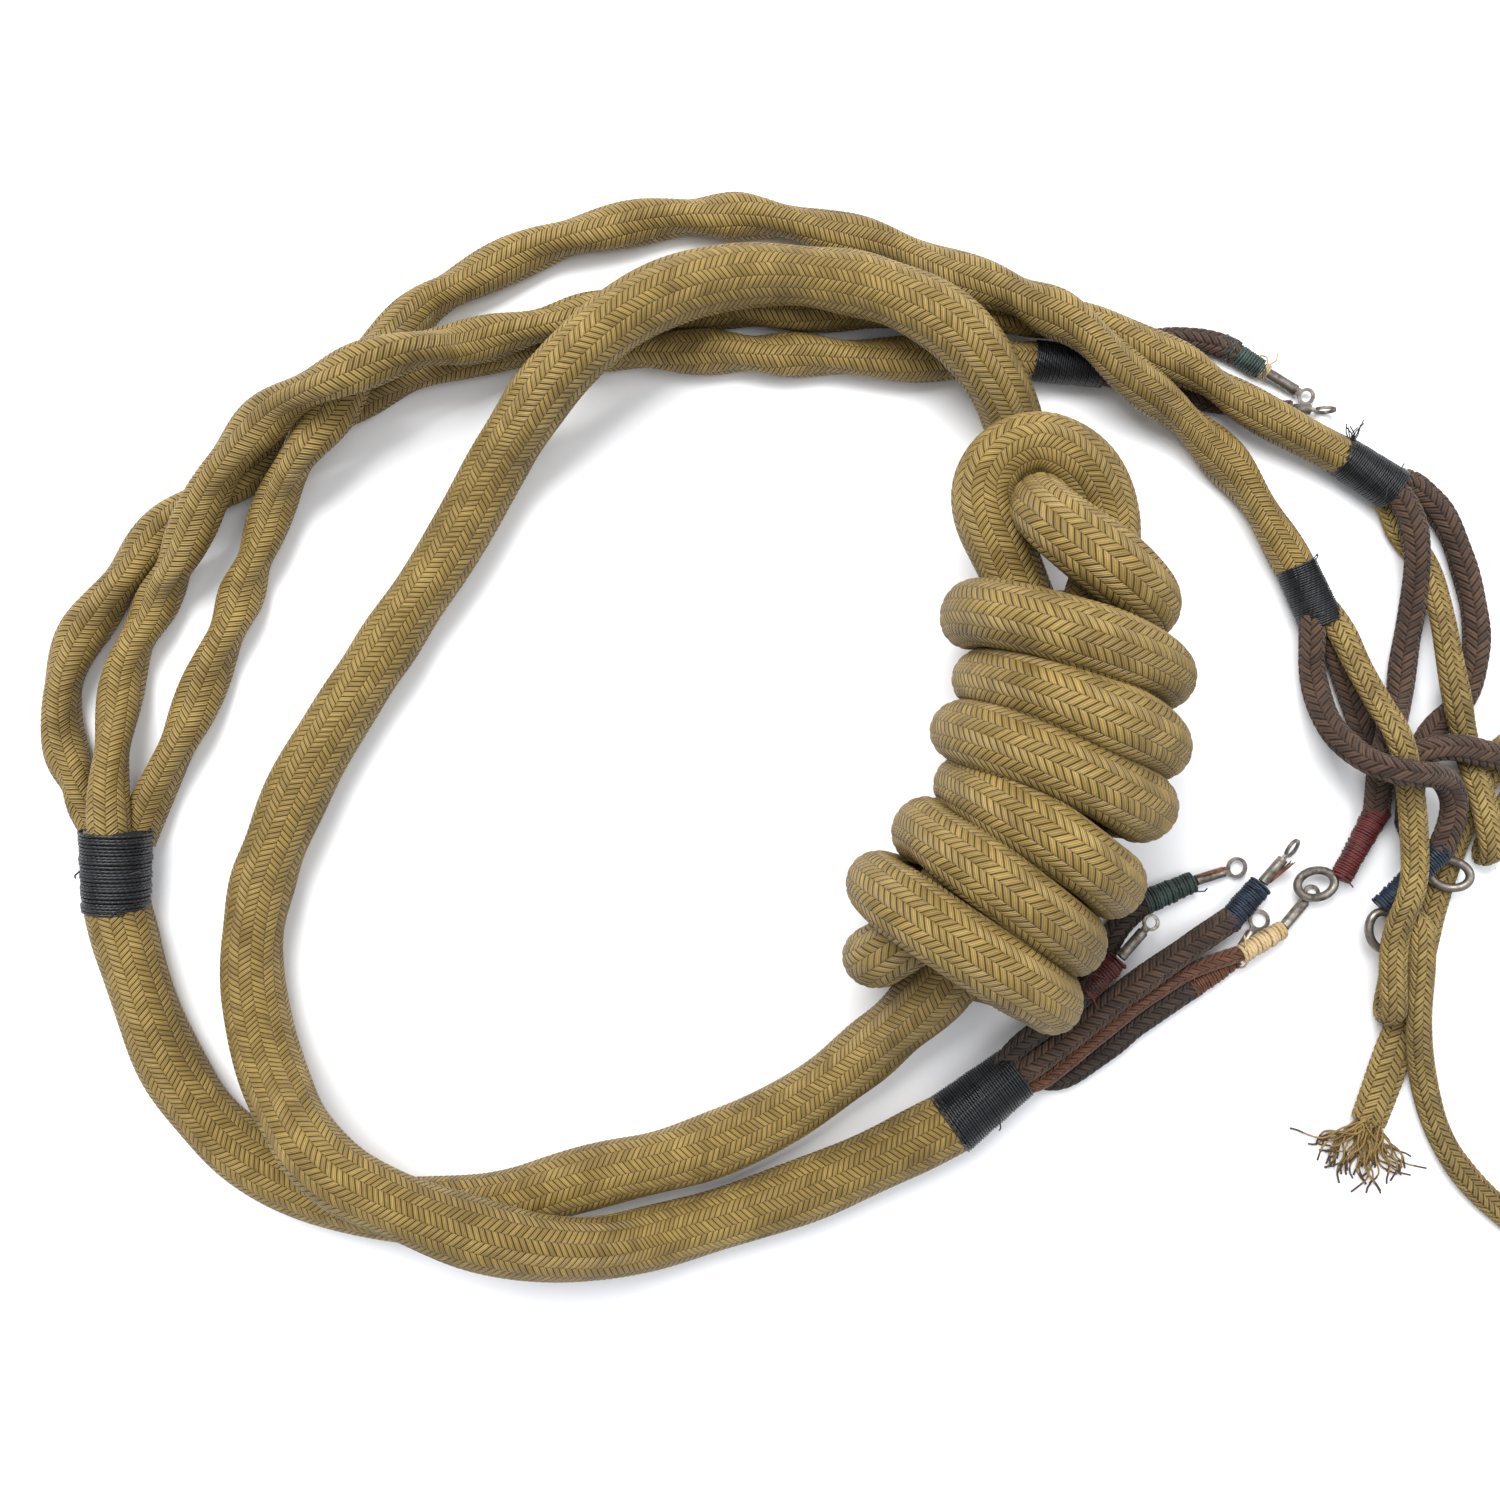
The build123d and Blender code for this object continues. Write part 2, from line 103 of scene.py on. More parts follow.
BRANCH_MIDDLE = [(-163.7, -24, 10.6), (-163.5, -18.5, 12.6), (-165, -2.5, 7.5), (-163, 18, 4.5),
                 (-155.5, 31, 4.5), (-146, 44.5, 11.5), (-138, 58.5, 14), (-126.5, 69.5, 17.5),
                 (-114, 74, 23), (-105, 77.5, 23.5), (-95.5, 81.5, 21), (-87, 85, 13.5), (-73.5, 88, 13.5),
                 (-59.5, 92, 12), (-47.5, 96.5, 4.5), (-21, 95.5, 4.5), (8.5, 95.5, 4.5), (33, 94, 4.5),
                 (47, 93, 6.6), (55, 90.2, 9.6), (64, 85.5, 10.8), (77, 79, 9), (93, 69, 8.3),
                 (109, 62.5, 5)]
BRANCH_LOWER = [(-167.6, -23.5, 5.6), (-169.5, -18.5, 4.5), (-178, -2.5, 4.5), (-177, 18, 4.5),
                (-166.5, 31.5, 4.5), (-155.5, 47.5, 4.5), (-137.5, 57.5, 4.5), (-122.5, 70, 4.5),
                (-104, 79.5, 4.5), (-85.5, 86.5, 4.5), (-57.5, 86.5, 4.5), (-26, 86, 4.5), (7.5, 84.5, 4.5),
                (41, 84, 4.5)]
LEADS = {
    "lead_upper_navy": [(101.8, 27, 6), (101.3, 22.2, 7), (102.5, 14, 3.5), (104, 2.5, 8),
                        (108.5, -4.5, 14), (112.5, -7, 18), (118.5, -8.2, 19), (128, -8.5, 12.7),
                        (133, -17, 8.5), (129, -25.5, 8)],
    "lead_upper_out": [(104.6, 28.3, 4.2), (106.5, 23, 3), (110.5, 13.5, 3), (114, 2, 3), (118.5, -5.5, 3),
                       (123, -4, 8.5), (130, -2, 9.2), (138, -3.5, 9.2), (146, -6, 9), (155, -7.5, 7),
                       (163, -7, 3)],
    "lead_middle_red": [(117.8, 56.2, 6.3), (121.9, 53.1, 7), (124.5, 42.5, 8), (126, 31, 3),
                        (123.5, 18, 3), (122, 7.5, 4), (118.5, 2.5, 8), (115.3, -4, 11.8), (117, -10.5, 5),
                        (117.5, -17, 3)],
    "lead_middle_dark": [(119, 57.8, 4.6), (123.3, 57.4, 3.9), (127, 56, 3), (133.5, 49, 3), (139, 32.5, 3),
                         (140.5, 19.5, 3), (137, 7.5, 3), (129.5, 1.5, 3), (125, -9, 3), (124.6, -19.5, 3)],
    "lead_lower_green": [(51.5, 83.9, 3.4), (57.5, 86, 2.5), (64.2, 88.4, 2.5), (71.5, 90, 2.5),
                         (78, 89.5, 2.5), (83.5, 88, 2.5), (86, 86.6, 2.4)],
    "lead_lower_plain": [(52.5, 81.9, 3.4), (57.5, 81, 2), (66.5, 79, 2), (78, 75.5, 2), (89, 74, 2),
                         (98.5, 74, 2)],
}
STRAPS = {
    "stay_strap_upper": [(104.6, 28.4, 6.2), (107.5, 24, 7.5), (109.5, 17, 9.5), (113.5, 7.5, 12),
                         (115.6, 0.5, 17.2), (119.5, -7, 13), (122.5, -19.5, 9.8), (120.8, -32.5, 14),
                         (118.5, -43, 9.5), (118.2, -52.5, 8.8), (118.8, -62, 8.8), (119.6, -63, 2),
                         (122, -52, 2), (124, -41, 2), (124.6, -40, 9), (125, -50.5, 8.6),
                         (124.6, -62, 7.5), (127.5, -75, 2.5), (131.5, -90, 2), (139.5, -101.5, 2),
                         (149.5, -110, 2), (156, -115, 2)],
    "stay_strap_middle": [(118.2, 55.7, 4.1), (121, 51.5, 2.4), (123, 46, 2), (129, 39.5, 2),
                          (131, 28.5, 5), (131, 15.5, 9), (133, 5, 9), (137.5, -3, 3.5), (139, -14, 7.5),
                          (141, -26, 8.6), (142.2, -27.5, 2), (145, -19, 2), (151, -11, 2), (154, -3.5, 2),
                          (148, -0.5, 2), (143, -8, 2), (138, -18, 2), (133.5, -29.5, 2), (130, -41, 2),
                          (125.5, -59, 2), (120.5, -75, 2), (116, -87, 2)],
}
TAILS = {
    "tail_lead_black": [(32.6, -74.6, 4.4), (36, -71.5, 3), (43.5, -65.4, 3), (51, -58.5, 3), (56, -49, 3),
                        (60, -41, 3), (66, -37, 3)],
    "tail_lead_red": [(30, -76.2, 7.2), (34, -69.6, 8), (43, -63.2, 8.4), (51.5, -56, 8.4),
                      (54.5, -53, 8.3)],
    "tail_lead_brown": [(33, -76.8, 7.4), (37, -74, 8.5), (46, -68, 7), (55, -60.5, 6.5), (66, -52.5, 6.5),
                        (76, -46, 5.5), (84.5, -41, 3.5)],
    "tail_lead_cream": [(35, -78.2, 6), (40, -78, 6.5), (46.5, -73, 6), (57, -64.5, 5.5), (67, -57.5, 4),
                        (76.5, -51.5, 4), (87, -48, 5.6)],
    "tail_lead_orange": [(34.6, -76.6, 4), (39.4, -76.3, 2.5), (46.5, -78, 2.5), (57, -70.5, 2.5),
                         (67, -62.4, 2.5), (77, -56, 2.5)],
}


def coil_turns():
    """Control points of the wrapped turns: halves over the top run left to right, halves below return."""
    points = []
    ends = [(TURN_RIGHT[0], TURN_LEFT[0], -1)]
    for i in range(1, len(TURN_LEFT)):
        ends.append((TURN_LEFT[i - 1], TURN_RIGHT[i], 1))
        ends.append((TURN_RIGHT[i], TURN_LEFT[i], -1))
    for (x0, y0), (x1, y1), side in ends:
        for k in range(HALF_TURN_POINTS):
            turn = (k + 0.5) / HALF_TURN_POINTS * math.pi
            along = 0.5 - 0.5 * math.cos(turn) / PULLED_IN
            lift = side * COIL_HALF_HEIGHT * math.sin(turn) / PULLED_IN
            points.append((x0 + (x1 - x0) * along, y0 + (y1 - y0) * along, COIL_Z + lift))
    return points


TRUNK = TRUNK_A + KNOT_ENTRY + coil_turns() + KNOT_CORE_UP + KNOT_RING + KNOT_CORE_DOWN + KNOT_EXIT + TRUNK_B


# ---------------------------------------------------------------- shapes
def spline_line(points, step):
    """Evenly spaced points, in metres, read from the smooth spline that has these control points."""
    curve = bpy.data.curves.new("route", "CURVE")
    curve.dimensions = "3D"
    spline = curve.splines.new("NURBS")
    spline.points.add(len(points) - 1)
    for target, (x, y, z) in zip(spline.points, points):
        target.co = (x / 1000, y / 1000, z / 1000, 1)
    spline.order_u = 3
    spline.use_endpoint_u = True
    spline.resolution_u = 20
    holder = bpy.data.objects.new("route", curve)
    mesh = bpy.data.meshes.new_from_object(holder)
    line = np.array([v.co[:] for v in mesh.vertices])
    bpy.data.objects.remove(holder)
    bpy.data.curves.remove(curve)
    bpy.data.meshes.remove(mesh)
    return even(line, step)


def even(line, step):
    """The same line with evenly spaced points."""
    line = np.asarray(line, float)
    run = np.concatenate([[0], np.cumsum(np.linalg.norm(np.diff(line, axis=0), axis=1))])
    count = max(3, round(run[-1] / step) + 1)
    at = np.linspace(0, run[-1], count)
    return np.stack([np.interp(at, run, line[:, k]) for k in range(3)], axis=1)


def length_of(line):
    return float(np.linalg.norm(np.diff(line, axis=0), axis=1).sum())


def frames(line, up=(0, 0, 1), level=0.0):
    """Tangent and two side directions at each point, carried along without twist.

    A level above 0 eases the first side towards the horizontal, for a flat strap."""
    tangent = np.gradient(line, axis=0)
    tangent /= np.linalg.norm(tangent, axis=1)[:, None] + 1e-12
    side = np.cross(tangent[0], np.array(up, float))
    if np.linalg.norm(side) < 1e-3:
        side = np.cross(tangent[0], (1.0, 0, 0))
    sides = np.zeros_like(line)
    for i, t in enumerate(tangent):
        side = side - t * side.dot(t)
        side /= np.linalg.norm(side)
        if level:
            flat = np.cross(t, (0.0, 0.0, 1.0))
            side = side + flat * (level if side.dot(flat) >= 0 else -level)
            side /= np.linalg.norm(side)
        sides[i] = side
    return tangent, sides, np.cross(tangent, sides)


def smooth_noise(count, period, amount):
    """A smooth random curve of count samples, with bumps about period samples apart."""
    knots = noise.normal(0, 1, int(count / period) + 4)
    at = np.linspace(0, len(knots) - 1.001, count)
    i = at.astype(int)
    f = at - i
    f = f * f * (3 - 2 * f)
    return (knots[i] * (1 - f) + knots[i + 1] * f) * amount


class Shape:
    """Mesh under construction: vertices, quads and a pattern coordinate for each face corner."""

    def __init__(self):
        self.verts, self.faces, self.lays = [], [], []
        self.count = 0

    def tube(self, line, radius, around, lay_u, lay_v, up=(0, 0, 1), squash=(1, 1), level=0.0):
        """A closed tube. radius is one number or an array (points, around).

        lay_u and lay_v scale the pattern around and along it."""
        n = len(line)
        _, a, b = frames(line, up, level)
        angle = np.linspace(0, TAU, around, endpoint=False)
        r = np.broadcast_to(np.asarray(radius, float), (n, around))
        wide = r * np.cos(angle) * squash[0]
        tall = r * np.sin(angle) * squash[1]
        ring = line[:, None, :] + wide[:, :, None] * a[:, None, :] + tall[:, :, None] * b[:, None, :]
        base = self.count
        self.verts.append(ring.reshape(-1, 3))
        self.count += n * around
        i, j = np.meshgrid(np.arange(n - 1), np.arange(around), indexing="ij")
        k = (j + 1) % around
        quads = np.stack([base + i * around + j, base + i * around + k,
                          base + (i + 1) * around + k, base + (i + 1) * around + j], axis=-1)
        self.faces += quads.reshape(-1, 4).tolist()
        u = np.stack([j, j + 1, j + 1, j], axis=-1) / around * lay_u
        v = np.stack([i, i, i + 1, i + 1], axis=-1) / (n - 1) * lay_v
        self.lays.append(np.stack([u, v], axis=-1).reshape(-1, 2))
        for row, order in ((0, -1), (n - 1, 1)):
            self.faces.append([base + row * around + q for q in range(around)][::order])
            self.lays.append(np.tile([[0.5, lay_v if row else 0]], (around, 1)))
        return self

    def make(self, name, material, slot=None, replaces=()):
        mesh = bpy.data.meshes.new(name)
        mesh.from_pydata(np.concatenate(self.verts).tolist(), [], self.faces)
        lay = mesh.uv_layers.new(name="lay")
        lay.data.foreach_set("uv", np.concatenate(self.lays).astype(np.float32).ravel())
        mesh.polygons.foreach_set("use_smooth", [True] * len(mesh.polygons))
        mesh.materials.append(material)
        mesh.update()
        piece = bpy.data.objects.new(name, mesh)
        bpy.context.scene.collection.objects.link(piece)
        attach(piece, "root")
        if replaces:
            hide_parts(*replaces)
        return piece


# ---------------------------------------------------------------- materials
class Nodes:
    """Short forms for building a shader."""

    def __init__(self, name):
        self.material = bpy.data.materials.new(name)
        self.material.use_nodes = True
        self.tree = self.material.node_tree
        self.shader = self.tree.nodes["Principled BSDF"]

    def put(self, target, value):
        if isinstance(value, bpy.types.NodeSocket):
            self.tree.links.new(value, target)
        else:
            target.default_value = value

    def math(self, operation, a, b=0.0, c=0.0):
        node = self.tree.nodes.new("ShaderNodeMath")
        node.operation = operation
        for target, value in zip(node.inputs, (a, b, c)):
            self.put(target, value)
        return node.outputs[0]

    def lay(self):
        node = self.tree.nodes.new("ShaderNodeUVMap")
        node.uv_map = "lay"
        split = self.tree.nodes.new("ShaderNodeSeparateXYZ")
        self.tree.links.new(node.outputs[0], split.inputs[0])
        return split.outputs[0], split.outputs[1]

    def white(self, x, y):
        join = self.tree.nodes.new("ShaderNodeCombineXYZ")
        self.put(join.inputs[0], x)
        self.put(join.inputs[1], y)
        node = self.tree.nodes.new("ShaderNodeTexWhiteNoise")
        node.noise_dimensions = "2D"
        self.tree.links.new(join.outputs[0], node.inputs["Vector"])
        return node.outputs["Value"]

    def noise(self, scale, detail=3.0, roughness=0.55):
        where = self.tree.nodes.new("ShaderNodeTexCoord")
        node = self.tree.nodes.new("ShaderNodeTexNoise")
        self.tree.links.new(where.outputs["Object"], node.inputs["Vector"])
        node.inputs["Scale"].default_value = scale
        node.inputs["Detail"].default_value = detail
        node.inputs["Roughness"].default_value = roughness
        return node.outputs[0]

    def ramp(self, value, low, high):
        node = self.tree.nodes.new("ShaderNodeMapRange")
        self.put(node.inputs[0], value)
        node.inputs[1].default_value = low
        node.inputs[2].default_value = high
        return node.outputs[0]

    def mix(self, factor, a, b):
        node = self.tree.nodes.new("ShaderNodeMix")
        node.data_type = "RGBA"
        self.put(node.inputs[0], factor)
        self.put(node.inputs[6], a)
        self.put(node.inputs[7], b)
        return node.outputs[2]

    def bump(self, height, strength, distance):
        node = self.tree.nodes.new("ShaderNodeBump")
        node.inputs["Strength"].default_value = strength
        node.inputs["Distance"].default_value = distance
        self.put(node.inputs["Height"], height)
        self.tree.links.new(node.outputs[0], self.shader.inputs["Normal"])


def colour(r, g, b):
    """A linear colour from 0-255 display values."""
    def linear(v):
        v /= 255
        return v / 12.92 if v <= 0.04045 else ((v + 0.055) / 1.055) ** 2.4
    return (linear(r), linear(g), linear(b), 1)


def braid_material(name, body, pale, gap, threads=3, sheen=0.04, rough=(0.38, 0.62), depth=0.00055,
                   stain=0.5):
    """Herringbone braid: one pattern unit around is a column of floats and one along is a float."""
    n = Nodes(name)
    u, v = n.lay()
    column = n.math("FLOOR", u)
    across = n.math("FRACT", u)
    odd = n.math("SUBTRACT", n.math("MULTIPLY", n.math("MODULO", column, 2.0), 2.0), 1.0)
    slope = n.math("MULTIPLY", n.math("SUBTRACT", across, 0.5), SLANT)
    q = n.math("ADD", v, n.math("MULTIPLY", odd, slope))
    q = n.math("ADD", q, n.math("MULTIPLY", odd, HALF_ROW))
    row = n.math("FLOOR", q)
    f = n.math("FRACT", q)
    bulge = n.math("MULTIPLY", n.math("MULTIPLY", f, n.math("SUBTRACT", 1.0, f)), 4.0)
    ends = n.math("MULTIPLY", n.math("MULTIPLY", across, n.math("SUBTRACT", 1.0, across)), 4.0)
    crest = n.math("MULTIPLY", n.ramp(bulge, 0.0, 0.75), n.ramp(ends, -0.5, 0.45))
    strand = n.math("ABSOLUTE", n.math("SINE", n.math("MULTIPLY", f, math.pi * threads)))
    fibre = n.noise(2600, 2.0)
    grain = n.math("MULTIPLY", strand, n.math("ADD", 0.6, n.math("MULTIPLY", fibre, 0.6)))
    height = n.math("ADD", n.math("MULTIPLY", crest, 0.7), n.math("MULTIPLY", grain, 0.3))
    single = n.white(column, row)
    mottled = n.ramp(n.noise(95, 5.0, 0.62), 0.36, 0.66)
    tone = n.math("ADD", n.math("MULTIPLY", single, 0.5), n.math("MULTIPLY", mottled, 0.5))
    top = n.mix(tone, body, pale)
    top = n.mix(n.math("MULTIPLY", n.ramp(n.noise(42, 4.0), 0.52, 0.75), stain), top,
                tuple(c * 0.55 for c in body[:3]) + (1,))
    # Painted shade: the colour falls to the gap colour in the hollows between floats, at the column edges
    # where a float dives under the next, and in the grooves between its threads; the fibre noise in grain is
    # random tone.
    shade = n.math("MULTIPLY", n.ramp(crest, 0.05, 0.75), n.ramp(grain, -0.25, 0.45))
    n.put(n.shader.inputs["Base Color"], n.mix(shade, gap, top))
    worn = n.math("ADD", rough[0], n.math("MULTIPLY", n.noise(180, 4.0), rough[1] - rough[0]))
    hollow = n.math("SUBTRACT", 1.0, shade)
    n.put(n.shader.inputs["Roughness"], n.math("ADD", worn, n.math("MULTIPLY", hollow, 0.2)))
    n.shader.inputs["Sheen Weight"].default_value = sheen
    n.shader.inputs["Sheen Roughness"].default_value = 0.45
    n.shader.inputs["Specular IOR Level"].default_value = 0.45
    n.bump(height, 0.85, depth)
    return n.material


def thread_material(name, body, pale, rough):
    """Twisted sewing thread: fine diagonal plies along it."""
    n = Nodes(name)
    u, v = n.lay()
    spiral = n.math("ADD", n.math("MULTIPLY", u, 2.0), v)
    ply = n.math("ABSOLUTE", n.math("SINE", n.math("MULTIPLY", spiral, math.pi)))
    patch = n.ramp(n.noise(260, 4.0), 0.35, 0.7)
    # Painted shade: the grooves between the plies darken towards the body colour; patch adds random darker
    # and paler stretches.
    tone = n.math("MULTIPLY", n.math("ADD", n.math("MULTIPLY", ply, 0.5), patch), 0.6)
    n.put(n.shader.inputs["Base Color"], n.mix(tone, body, pale))
    n.put(n.shader.inputs["Roughness"], n.math("ADD", rough - 0.1, n.math("MULTIPLY", patch, 0.25)))
    n.shader.inputs["Specular IOR Level"].default_value = 0.5
    n.bump(n.math("ADD", ply, n.math("MULTIPLY", n.noise(1800, 2.0), 0.6)), 0.6, 0.00012)
    return n.material


def metal_material(name, clean, dull, rough):
    """Old tinned or bare metal with tarnish and fine scratches."""
    n = Nodes(name)
    patch = n.ramp(n.noise(320, 5.0, 0.65), 0.36, 0.66)
    n.put(n.shader.inputs["Base Color"], n.mix(patch, clean, dull))
    n.put(n.shader.inputs["Metallic"], n.math("SUBTRACT", 1.0, n.math("MULTIPLY", patch, 0.35)))
    n.put(n.shader.inputs["Roughness"], n.math("ADD", rough, n.math("MULTIPLY", patch, 0.3)))
    n.bump(n.noise(2400, 4.0), 0.25, 0.00008)
    return n.material


# The third colour of each braid is the painted shade of its hollows.
OLIVE = braid_material("olive_braid", colour(120, 96, 40), colour(172, 144, 78), colour(44, 33, 12))
BRANCH = braid_material("branch_braid", colour(120, 96, 42), colour(168, 141, 77), colour(44, 33, 13),
                        threads=2, depth=0.0005)
STRAP = braid_material("strap_knit", colour(112, 90, 42), colour(166, 141, 80), colour(24, 18, 7),
                       threads=2, sheen=0.08, rough=(0.62, 0.8), depth=0.0004, stain=0.3)
BROWN = braid_material("brown_braid", colour(52, 36, 27), colour(100, 74, 56), colour(5, 3, 2),
                       threads=2, sheen=0.12, rough=(0.75, 0.95), depth=0.0005, stain=0.4)
DARK = braid_material("dark_braid", colour(38, 29, 24), colour(76, 60, 49), colour(5, 3, 3),
                      threads=2, sheen=0.1, rough=(0.75, 0.95), depth=0.0005, stain=0.4)
RUST = braid_material("rust_braid", colour(70, 40, 24), colour(112, 69, 42), colour(16, 8, 5),
                      threads=2, sheen=0.3, rough=(0.7, 0.9), depth=0.0002, stain=0.3)
BLACK_THREAD = thread_material("black_thread", colour(8, 9, 11), colour(30, 32, 37), 0.42)
NAVY_THREAD = thread_material("navy_thread", colour(12, 20, 32), colour(40, 56, 76), 0.5)
RED_THREAD = thread_material("red_thread", colour(44, 12, 13), colour(110, 38, 34), 0.55)
GREEN_THREAD = thread_material("green_thread", colour(24, 34, 32), colour(66, 84, 76), 0.55)
CREAM_THREAD = thread_material("cream_thread", colour(160, 130, 86), colour(206, 184, 142), 0.6)
RUST_THREAD = thread_material("rust_thread", colour(72, 40, 21), colour(116, 70, 40), 0.6)
OLIVE_THREAD = thread_material("olive_thread", colour(104, 80, 36), colour(158, 130, 76), 0.7)
TIP_THREAD = thread_material("dark_tip_thread", colour(52, 34, 22), colour(92, 64, 40), 0.7)
TINNED = metal_material("tinned_metal", colour(150, 143, 134), colour(66, 58, 52), 0.38)
COPPER = metal_material("bare_copper", colour(150, 100, 72), colour(84, 56, 40), 0.4)


# ---------------------------------------------------------------- braided cords
LUMP_MM = 16            # spacing of the swellings along a cord
TURN_MM = 30            # spacing of the wander in an oval section's turning
END_MM = 12             # swelling and oval fade out over this length at each end
WIDEN_FROM_MM = 48      # a widening strap spreads from this far before its end
WIDEN_OVER_MM = 30
WIDEN_THINS = 0.35      # share of its height that it loses


def braid_height(count, around, columns, float_samples):
    """Height from 0 to 1 of the herringbone on the tube's own grid of points."""
    i = np.arange(count)[:, None] / float_samples
    u = np.arange(around)[None, :] / around * columns
    column = np.floor(u)
    across = u - column
    odd = (column % 2) * 2 - 1
    f = (i + odd * SLANT * (across - 0.5) + odd * HALF_ROW) % 1.0
    crest = np.clip(4 * f * (1 - f) / 0.6, 0, 1)
    ends = np.clip((4 * across * (1 - across) + 0.35) / 0.9, 0, 1)
    return crest * ends


def braided(name, points, diameter, columns, float_mm, material, slot, replaces, relief, samples,
            per_column, lumps, oval, oval_period=26.0, squash=(1, 1), level=0.0, widen=0.0):
    """One braided cord on its spline, with real relief; returns the piece and the line it follows.

    float_mm is the length of one float, samples its mesh rows and per_column the mesh points across
    a column. lumps and oval vary the section, and widen flattens the last stretch further."""
    step = float_mm / samples / 1000
    line = spline_line(points, step)
    count, around = len(line), columns * per_column
    angle = np.linspace(0, TAU, around, endpoint=False)[None, :]
    s = np.arange(count) * step * 1000
    swell = 1 + smooth_noise(count, LUMP_MM / (step * 1000), lumps)
    turn = math.pi * s / oval_period + smooth_noise(count, TURN_MM / (step * 1000), 0.5)
    ease = np.clip(np.minimum(s, s[-1] - s) / END_MM, 0, 1)
    swell = 1 + (swell - 1) * ease
    shape = 1 + oval * ease[:, None] * np.cos(2 * (angle - turn[:, None]))
    radius = diameter / 2000 * swell[:, None] * shape
    radius = radius + (braid_height(count, around, columns, samples) - 0.6) * relief / 1000
    if widen:
        spread = np.clip((s - s[-1] + WIDEN_FROM_MM) / WIDEN_OVER_MM, 0, 1)[:, None]
        squash = (squash[0] * (1 + widen * spread), squash[1] * (1 - WIDEN_THINS * spread))
    built = Shape().tube(line, radius, around, columns, (count - 1) / samples, squash=squash, level=level)
    return built.make(name, material, slot, replaces), line


def declare(piece, line, diameter, far_end, with_pieces, stiffness="limp"):
    """Thin a cord's line to every fourth point and keep its last point; the thinned path is not used
    further.
    """
    thinned = line[::4] if len(line) > 40 else line
    if not np.allclose(thinned[-1], line[-1]):
        thinned = np.concatenate([thinned, line[-1:]])


# ---------------------------------------------------------------- wound thread
TURN_POINTS = 20
CORE_RINGS = 7
BURIED = 0.0011         # a winding starts this far back, in metres, so that no gap shows


def wound(name, start, end, start_d, end_d, thread, material, slot, replaces, tails, loose=0.5):
    """A thread wound round and round a core, with slightly uneven turns and short loose ends."""
    a, b = Vector(start) / 1000, Vector(end) / 1000
    axis = (b - a).normalized()
    side = axis.cross(Vector((0, 0, 1))).normalized()
    rise = side.cross(axis)
    a = a - axis * BURIED
    length = (b - a).length * 1000
    shape = Shape()
    shares = [k / (CORE_RINGS - 1) for k in range(CORE_RINGS)]
    core = np.array([a.lerp(b, share)[:] for share in shares])
    core_r = np.array([(start_d + (end_d - start_d) * share) / 2000 - thread / 2000 for share in shares])
    core_r[[0, -1]] *= 0.9
    shape.tube(core, np.repeat(core_r[:, None], TURN_POINTS, axis=1), TURN_POINTS, 1, 4)
    turns = max(3, int(length / thread))
    wobble = [rng.uniform(-1, 1) for _ in range(turns + 3)]
    line = []
    for k in range(turns * TURN_POINTS + 1):
        t = k / (turns * TURN_POINTS)
        i = int(t * turns)
        f = t * turns - i
        drift = wobble[i] * (1 - f) + wobble[i + 1] * f
        along = min(1, max(0, t + drift * loose * 0.25 / turns))
        r = (start_d + (end_d - start_d) * along) / 2000 - thread / 4000 + drift * loose * thread / 5000
        c = a.lerp(b, along)
        w = t * turns * TAU
        line.append((c + side * math.cos(w) * r + rise * math.sin(w) * r)[:])
    line = np.array(line)
    shape.tube(line, thread / 1950, 6, 1, length_of(line) * 1000 / 1.2, up=axis)
    for _ in range(tails):
        w = rng.uniform(0.2, 2.9)
        along = rng.choice((0.02, 0.97, 0.5, 0.8))
        r = (start_d + (end_d - start_d) * along) / 2000
        out = side * math.cos(w) + rise * math.sin(w)
        way = out.cross(axis) * rng.choice((-1, 1)) + axis * rng.uniform(-0.6, 0.6)
        p = a.lerp(b, along) + out * r
        hair = [p, p + way * 0.0009 + out * 0.0003, p + way * 0.002 + out * 0.0007,
                p + way * 0.003 + out * 0.0004]
        shape.tube(even([q[:] for q in hair], 0.0004), thread / 3600, 5, 1, 3)
    return shape.make(name, material, slot, replaces)


FUZZ_RADII = np.array([[0.00003], [0.000025], [0.00001]])
FUZZ_FLOOR = 0.0004     # no fibre comes lower than this


def hairs(name, line, diameter, count, size, material):
    """Fine fuzz standing off a cord."""
    _, a, b = frames(line)
    shape = Shape()
    for _ in range(count):
        i = rng.randrange(2, len(line) - 2)
        w = rng.uniform(0, TAU)
        out = Vector(a[i]) * math.cos(w) + Vector(b[i]) * math.sin(w)
        p = Vector(line[i]) + out * (diameter / 2000 - 0.0001)
        way = Vector([rng.uniform(-1, 1) for _ in range(3)])
        reach = size / 1000 * rng.uniform(0.4, 1)
        q = p + (out * 0.6 + way * 0.5) * reach * 0.5
        e = q + (out * 0.1 + way * 0.7) * reach * 0.6
        if min(q.z, e.z) < FUZZ_FLOOR:
            continue
        shape.tube(np.array([p[:], q[:], e[:]]), np.repeat(FUZZ_RADII, 3, axis=1), 3, 1, 1)
    return shape.make(name, material)


# ---------------------------------------------------------------- the trunk and its knot
trunk, trunk_line = braided("trunk", TRUNK, 13.5, 16, 1.3, OLIVE, "trunk_braid",
                            ("trunk_run_a", "trunk_core_a", "trunk_knot", "trunk_run_b", "trunk_core_b"),
                            relief=0.26, samples=3, per_column=4, lumps=0.03, oval=0.035, oval_period=34)

# ---------------------------------------------------------------- branches
branches = {}
for name, points in (("branch_upper", BRANCH_UPPER), ("branch_middle", BRANCH_MIDDLE),
                     ("branch_lower", BRANCH_LOWER)):
    branches[name] = braided(name + "_cord", points, 8.4, 10, 1.2, BRANCH, "branch_braid",
                             (name, name.replace("branch", "branch_core")),
                             relief=0.24, samples=3, per_column=4, lumps=0.04, oval=0.14)

